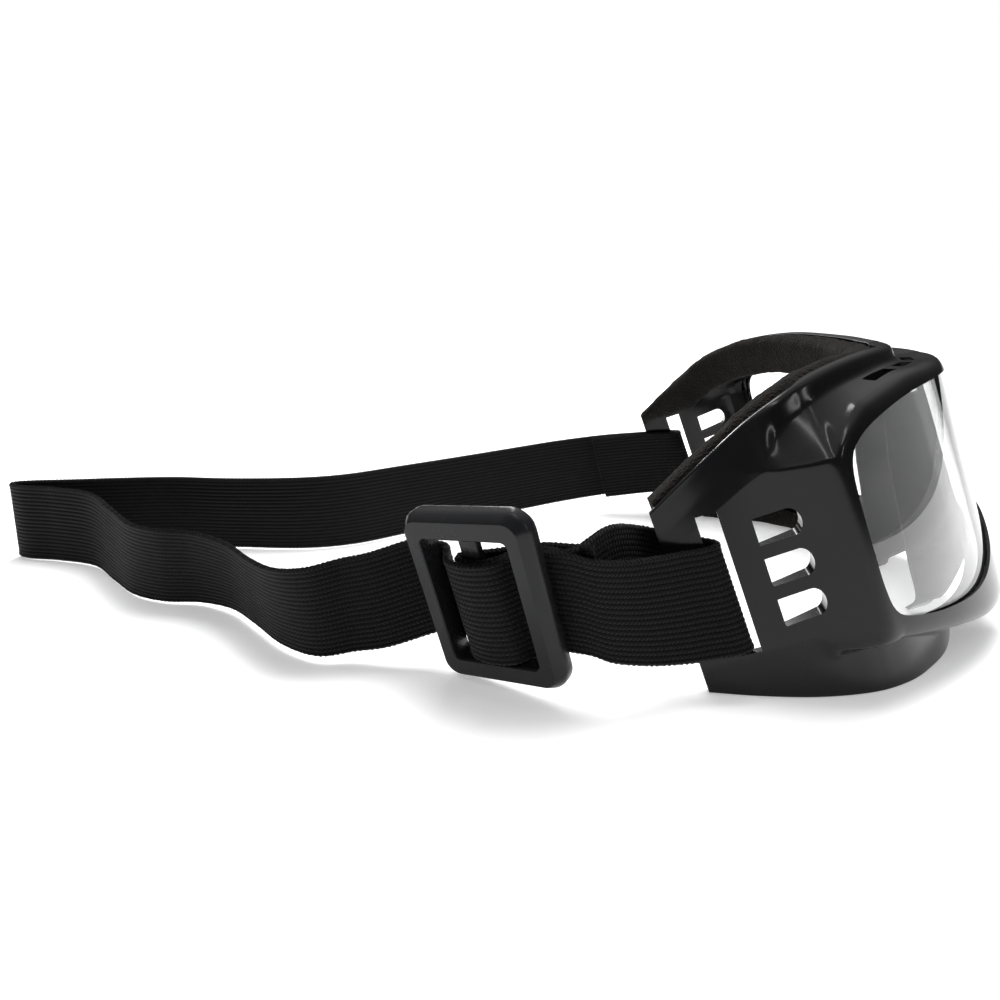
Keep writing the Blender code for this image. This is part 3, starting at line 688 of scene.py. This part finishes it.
# ------------------------------------------------------------------ slider
SC = np.array([-86.0, 44.0, 22.9])                 # slider centre in the resting pose
YAW, ROLL, TIP = math.radians(25.0), math.radians(8.0), math.radians(-14.0)
E1 = np.array([math.sin(YAW), math.cos(YAW), 0.0])  # from its front rail to its rear rail
NRM = np.array([-math.cos(YAW) * math.cos(TIP), math.sin(YAW) * math.cos(TIP), math.sin(TIP)])  # out, away from the wearer
UPRIGHT = np.array([math.cos(YAW) * math.sin(TIP), -math.sin(YAW) * math.sin(TIP), math.cos(TIP)])
UP = UPRIGHT * math.cos(ROLL) + E1 * math.sin(ROLL)
AL = E1 * math.cos(ROLL) - UPRIGHT * math.sin(ROLL)


def on_slider(a, n, u):
    return SC + AL * a + NRM * n + UP * u


def slider_point(a, n, u):
    return stand(*on_slider(a, n, u))


def rounded(w, h, r, n=12):
    pts = []
    for cx, cy, a0 in ((w / 2 - r, h / 2 - r, 0), (-w / 2 + r, h / 2 - r, 90), (-w / 2 + r, -h / 2 + r, 180), (w / 2 - r, -h / 2 + r, 270)):
        for k in range(n):
            a = math.radians(a0 + 90 * k / (n - 1))
            pts.append((cx + r * math.cos(a), cy + r * math.sin(a)))
    return pts


def ring_body(levels, n=12):
    """Closed window frame from nested outlines: levels run round the section once."""
    return [[slider_point(a, m, u) for a, u in rounded(w, h, r, n)] for w, h, r, m in levels]


t = SLIDER_T / 2
W, H = SLIDER_W, SLIDER_H
WW, WH = WINDOW_W, WINDOW_H
lev = [(W - 4.6, H - 4.6, 3.0, t), (W - 3.4, H - 3.4, 3.4, t - 0.03), (W - 2.8, H - 2.8, 3.7, t - 0.3), (W - 1.0, H - 1.0, 4.6, t - 1.6),
       (W - 0.3, H - 0.3, 4.9, t - 2.2), (W, H, 5.0, t - 2.9), (W, H, 5.0, -t + 1.3), (W - 0.3, H - 0.3, 4.9, -t + 0.7), (W - 1.2, H - 1.2, 4.5, -t + 0.15),
       (W - 2.4, H - 2.4, 4.0, -t), (WW + 1.6, WH + 1.6, 2.0, -t), (WW + 0.6, WH + 0.6, 1.6, -t + 0.25), (WW, WH, 1.4, -t + 0.9),
       (WW, WH, 1.4, t - 0.7), (WW + 0.25, WH + 0.25, 1.5, t - 0.25), (WW + 0.8, WH + 0.8, 1.8, t)]
v, f = loft(ring_body(lev), closed=True)
tri = new_mesh("slider_body", v, f)
bar = new_mesh("bar", *loft([[slider_point(a, n, u) for a, n in ((-2.4, -0.6), (-2.25, -0.87), (-1.9, -1.0), (1.9, -1.0), (2.25, -0.87), (2.4, -0.6), (2.4, 0.6), (2.25, 0.87), (1.9, 1.0), (-1.9, 1.0), (-2.25, 0.87), (-2.4, 0.6))]
                         for u in (-WINDOW_H / 2 - 1.0, WINDOW_H / 2 + 1.0)]))
cut(tri, [bar], "UNION")
shade(tri, 28)
tri.data.materials.clear()
tri.data.materials.append(SLIDER_MAT)
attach(tri, "slider_unit")
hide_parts("slider")


# ------------------------------------------------------------------ strap
def edge_line(points):
    """CAD route rows: x, y, z of the lower edge, x and y lean of the upper edge."""
    rows = []
    for x, y, z, lx, ly in points:
        lo = np.array([x, y, z])
        rows.append((lo, lo + np.array([lx, ly, math.sqrt(STRAP_W ** 2 - lx * lx - ly * ly)])))
    return rows


def lift(a):
    """The band lies a little low in the slider and askew to it."""
    return -1.9 + 0.04 * a


def slider_line(points):
    return [(on_slider(a, m, lift(a) - STRAP_W / 2), on_slider(a, m, lift(a) + STRAP_W / 2)) for a, m in points]


def start(a, n):
    lo = on_slider(a, n, lift(a) - STRAP_W / 2)
    up = UP * STRAP_W
    return (lo[0], lo[1], lo[2], up[0], up[1])


EDGE = 19.2


def band(name, rows, thick=1.3, across=84, step=0.8, u0=0.0):
    """Woven band through rows of (lower, upper) edge points: ribs, thicker selvedges, picot edges."""
    flat = np.array([np.r_[a, b] for a, b in rows])
    pts = curve(flat, 10, every=step)
    lo, hi = pts[:, :3], pts[:, 3:]
    mid = (lo + hi) / 2
    u = u0 + np.r_[0, np.cumsum(np.linalg.norm(np.diff(mid, axis=0), axis=1))]
    tan = np.gradient(mid, axis=0)
    wdir = hi - lo
    width = np.linalg.norm(wdir, axis=1, keepdims=True)
    wdir /= width
    nrm = np.cross(tan, wdir)
    nrm /= np.linalg.norm(nrm, axis=1, keepdims=True)
    vs = np.linspace(0, 1, across)
    rows_n = len(u)
    out = []
    uv = []
    wmm = 25.0
    for side in (1, -1):
        order = vs if side == 1 else vs[::-1]
        for v in order:
            vm = v * wmm
            rib = 0.07 * np.cos(2 * math.pi * (vm / 1.25 - 0.5)) 
            e = min(vm, wmm - vm)
            selv = 0.16 * math.exp(-((e - 0.9) / 0.55) ** 2)
            edge_round = math.sqrt(max(0.0, 1 - (1 - min(e / 0.8, 1.0)) ** 2))
            hgt = (thick / 2) * (0.25 + 0.75 * edge_round) + (rib + selv) * min(e / 0.5, 1.0)
            picot = 0.0
            if e < 0.7:
                picot = 0.16 * np.sin(2 * math.pi * u / 1.3) * (1 if v > 0.5 else -1)
            loop = 0.028 * np.sin(2 * math.pi * (u / 0.95 + 0.75 * abs((vm / 1.25) % 1.0 - 0.5)))
            p = lo + (wdir * width) * v + nrm * side * (hgt + loop * min(e / 0.5, 1.0))[:, None] if not np.isscalar(loop) else lo
            p = p + wdir * (picot if np.isscalar(picot) else picot[:, None])
            out.append(p)
            uv.append((u / 100.0, np.full(rows_n, vm / 100.0)))
    grid = np.array(out)                      # ring index, row, xyz
    m = grid.shape[0]
    verts = np.transpose(grid, (1, 0, 2)).reshape(-1, 3)
    verts = (verts + np.array([ORIGIN_X, -ORIGIN_Y, 0])) / 1000.0
    faces = []
    for i in range(rows_n - 1):
        a = i * m
        for k in range(m):
            q = (k + 1) % m
            faces.append((a + k, a + q, a + m + q, a + m + k))
    for i in (0, rows_n - 1):
        h = m // 2
        for k in range(h - 1):
            faces.append((i * m + k, i * m + k + 1, i * m + m - 2 - k, i * m + m - 1 - k))
    ob = new_mesh(name, verts, faces)
    uvu = np.array([x[0] for x in uv]).T.reshape(-1)
    uvv = np.array([x[1] for x in uv]).T.reshape(-1)
    lay = ob.data.uv_layers.new(name="band")
    idx = np.empty(len(ob.data.loops), np.int32)
    ob.data.loops.foreach_get("vertex_index", idx)
    lay.data.foreach_set("uv", np.stack([uvu[idx], uvv[idx]], 1).astype(np.float32).ravel())
    shade(ob, 75)
    ob.data.materials.append(ELASTIC_MAT)
    return ob, float(u[-1] - u0)


WEAVE = [(-EDGE, -4.6), (-14.0, -4.5), (-10.2, -3.5), (-7.8, -0.5), (-5.2, 2.7), (0, 3.9), (5.2, 2.7), (7.8, -0.5), (10.2, -3.5), (14.0, -4.5), (EDGE, -4.6)]
LOOP = [(-EDGE, -6.3), (-14.0, -6.3), (-9.8, -5.4), (-7.6, -2.9), (-5.4, 0.2), (-3.4, 1.8), (0, 2.15), (3.0, 1.75), (4.1, 0), (3.0, -1.75), (0, -2.2), (-4.5, -4.1), (-8.5, -6.6), (-14.0, -8.0), (-EDGE, -8.2), (-EDGE - 5.0, -8.6)]
near_rows = slider_line(WEAVE[3:0:-1]) + edge_line([start(-EDGE - 0.9, -4.6), (-88.0, 16.0, 10.4, -3.6, 5.0), (-85.5, 8.0, 9.2, -1.5, 6.4), (-83.2, 0.0, 9.2, 1.2, 7.6),
         (-81.7, -5.5, 9.8, 2.6, 8.4), (-80.6, -10.5, 10.5, 3.2, 8.75), (-78.4, -13.4, 10.9, 3.2, 8.75), (-75.6, -13.3, 10.9, 3.2, 8.75),
         (-73.7, -10.4, 10.8, 3.2, 8.6), (-72.6, -3.0, 11.2, 3.0, 7.8), (-73.6, 5.0, 12.6, 2.4, 7.0),
         (-79.8, 13.0, 14.4, -1.0, 5.6), start(-EDGE - 1.2, -6.5)]) + slider_line(LOOP[1:])
near, near_len = band("strap_near", near_rows, thick=1.1)
far_rows = slider_line(WEAVE[3:-1]) + edge_line([start(EDGE + 0.7, -4.6), (-73.2, 69.5, 4.2, -3.0, 3.6), (-73.6, 78.0, 2.6, -3.6, 1.8), (-75.5, 87.0, 1.6, -5.5, 0.0),
        (-70.0, 98.0, 1.6, -9.0, -2.5), (-59.5, 109.5, 1.9, -11.0, -4.0), (-49.5, 121.0, 1.6, -10.0, -4.0),
        (-44.5, 133.0, 0.9, -8.0, -3.0), (-44.5, 144.5, 0.6, -7.0, -3.0), (-40.5, 156.0, 0.6, -6.0, -4.0),
        (-30.0, 169.0, 0.6, -4.0, -3.5), (-18.5, 183.0, 0.6, -1.5, -1.5), (-15.0, 198.0, 0.6, -0.5, -0.5),
        (-14.4, 210.0, 0.6, 0.0, 0.0), (-11.0, 215.2, 0.6, 0.0, 0.0), (-7.6, 210.0, 0.6, 0.0, 0.5),
        (-4.0, 197.0, 0.6, 0.0, 1.0), (0.5, 184.0, 0.6, -0.5, 1.0), (6.0, 166.0, 0.6, -1.5, 1.0), (7.5, 146.0, 0.6, -2.0, 1.0),
        (9.5, 124.0, 0.6, 0.0, 1.0), (17.0, 108.0, 0.6, 1.0, 2.0), (32.5, 92.0, 0.9, 1.0, 2.0), (48.5, 74.5, 1.6, 0.0, 2.4),
        (62.5, 56.0, 3.0, -1.2, 3.6), (72.5, 37.0, 5.2, -2.2, 5.2), (79.0, 18.0, 7.4, -2.8, 6.8), (81.8, 2.0, 9.0, -3.1, 8.2),
        (80.6, -10.5, 10.5, -3.2, 8.75), (78.4, -13.4, 10.9, -3.2, 8.75), (75.6, -13.3, 10.9, -3.2, 8.75),
        (73.7, -10.4, 10.8, -3.2, 8.6), (73.0, -3.0, 10.4, -3.1, 8.0), (73.2, 6.0, 9.3, -3.0, 7.4), (72.9, 14.0, 8.2, -2.9, 6.9), (71.8, 22.0, 7.2, -2.6, 6.2)])
far, far_len = band("strap_far", far_rows, thick=1.2)
print("strap lengths mm", near_len, far_len)
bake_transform(near)
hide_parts("strap_front", "strap_loop")
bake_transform(far)
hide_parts("strap_back", "strap_weave")

# ------------------------------------------------------------------ stage, camera, light
def floor_material():
    """Plain pale sweep that glows, alike all round: painted light, a glow that rises to white with distance from the
    goggles and stays dimmer round them as a painted shade pool.
    """
    n = Nodes("studio_floor")
    n.to(n.ramp(n.noise(2.0, 2.0), [(0.2, (0.89, 0.89, 0.89)), (0.8, (0.92, 0.92, 0.92))]), "Base Color")
    n.set(Roughness=0.75, Specular_IOR_Level=0.1)
    n.b.inputs["Emission Color"].default_value = (1, 1, 1, 1)
    sep = n.add("ShaderNodeSeparateXYZ")
    n.link(n.coord(), sep.inputs[0])
    x, y = sep.outputs["X"], sep.outputs["Y"]
    away = n.math("SQRT", n.math("ADD", n.math("MULTIPLY", x, x), n.math("MULTIPLY", y, y)))
    # painted light and shade: the floor's own glow, 0.34 round the goggles up to 1.0 further out
    n.to(n.range(away, 0.25, 1.1, 0.34, 1.0), "Emission Strength")
    return n.m


bpy.ops.mesh.primitive_plane_add(size=30.0, location=(0, 0, -0.0001))
floor = bpy.context.object
floor.name = "floor"
floor.data.materials.append(floor_material())

cam_data = bpy.data.cameras.new("camera")
cam = bpy.data.objects.new("camera", cam_data)
bpy.context.scene.collection.objects.link(cam)
yaw, pitch = 0.1485, 0.2486
cam.location = stand(-253.94, 15.83, 87.96)
cam.rotation_euler = (math.pi / 2 - pitch, 0, yaw - math.pi / 2)
cam_data.lens = 838.05 / 1000 * 36
cam_data.sensor_width = 36
cam_data.clip_start = 0.01
bpy.context.scene.camera = cam

world = bpy.data.worlds.new("studio")
bpy.context.scene.world = world
world.use_nodes = True
wt = world.node_tree
bg = wt.nodes["Background"]
out = wt.nodes["World Output"]
geo = wt.nodes.new("ShaderNodeTexCoord")
sep = wt.nodes.new("ShaderNodeSeparateXYZ")
wt.links.new(geo.outputs["Generated"], sep.inputs[0])
# tent: bright overhead, dim round the sides and dark towards the viewer
tent = wt.nodes.new("ShaderNodeMapRange")
tent.inputs[1].default_value, tent.inputs[2].default_value = 0.05, 0.85
tent.inputs[3].default_value, tent.inputs[4].default_value = 0.05, 0.80
tent.interpolation_type = "SMOOTHSTEP"
wt.links.new(sep.outputs["Z"], tent.inputs[0])
front = wt.nodes.new("ShaderNodeMapRange")
front.inputs[1].default_value, front.inputs[2].default_value = -0.55, 0.35
front.inputs[3].default_value, front.inputs[4].default_value = 0.12, 1.0
front.interpolation_type = "SMOOTHSTEP"
wt.links.new(sep.outputs["X"], front.inputs[0])
both = wt.nodes.new("ShaderNodeMath")
both.operation = "MULTIPLY"
aside = wt.nodes.new("ShaderNodeMapRange")
aside.inputs[1].default_value, aside.inputs[2].default_value = -0.95, -0.10
aside.inputs[3].default_value, aside.inputs[4].default_value = 0.25, 1.0
aside.interpolation_type = "SMOOTHSTEP"
wt.links.new(sep.outputs["Y"], aside.inputs[0])
pair = wt.nodes.new("ShaderNodeMath")
pair.operation = "MULTIPLY"
wt.links.new(front.outputs[0], pair.inputs[0])
wt.links.new(aside.outputs[0], pair.inputs[1])
wt.links.new(tent.outputs[0], both.inputs[0])
wt.links.new(pair.outputs[0], both.inputs[1])
path = wt.nodes.new("ShaderNodeLightPath")
see = wt.nodes.new("ShaderNodeMath")
see.operation = "MAXIMUM"
wt.links.new(path.outputs["Is Camera Ray"], see.inputs[0])
wt.links.new(path.outputs["Is Transmission Ray"], see.inputs[1])
mix = wt.nodes.new("ShaderNodeMix")
mix.data_type = "FLOAT"
wt.links.new(see.outputs[0], mix.inputs[0])
wt.links.new(both.outputs[0], mix.inputs[2])
mix.inputs[3].default_value = 1.0
bg.inputs["Color"].default_value = (1, 1, 1, 1)
wt.links.new(mix.outputs[0], bg.inputs["Strength"])


def area(name, loc, target, size, power, colour=(1, 1, 1), glossy=True):
    d = bpy.data.lights.new(name, "AREA")
    d.shape = "RECTANGLE"
    d.size, d.size_y = size
    d.energy = power
    d.color = colour
    o = bpy.data.objects.new(name, d)
    o.location = loc
    o.rotation_euler = (Vector(target) - Vector(loc)).to_track_quat("-Z", "Y").to_euler()
    o.visible_glossy = glossy
    bpy.context.scene.collection.objects.link(o)
    return o


area("top_soft", (0.25, -0.05, 0.85), (0, -0.05, 0), (0.55, 0.60), 11.0, glossy=False)
area("fill", (-0.9, 0.1, 0.9), (0, 0.0, 0.03), (0.6, 0.6), 2.5, glossy=False)
area("strip_over", (-0.06, -0.10, 0.75), (0, -0.05, 0.04), (0.035, 0.5), 0.5)
area("strip_rear", (0.75, 0.10, 0.50), (0, -0.05, 0.04), (0.06, 0.8), 1.4)
area("strip_left", (-0.30, -0.80, 0.42), (0, -0.05, 0.04), (0.05, 0.35), 0.5)
sc = bpy.context.scene
sc.view_settings.view_transform = "Standard"
sc.view_settings.look = "None"
sc.view_settings.exposure = 0.0
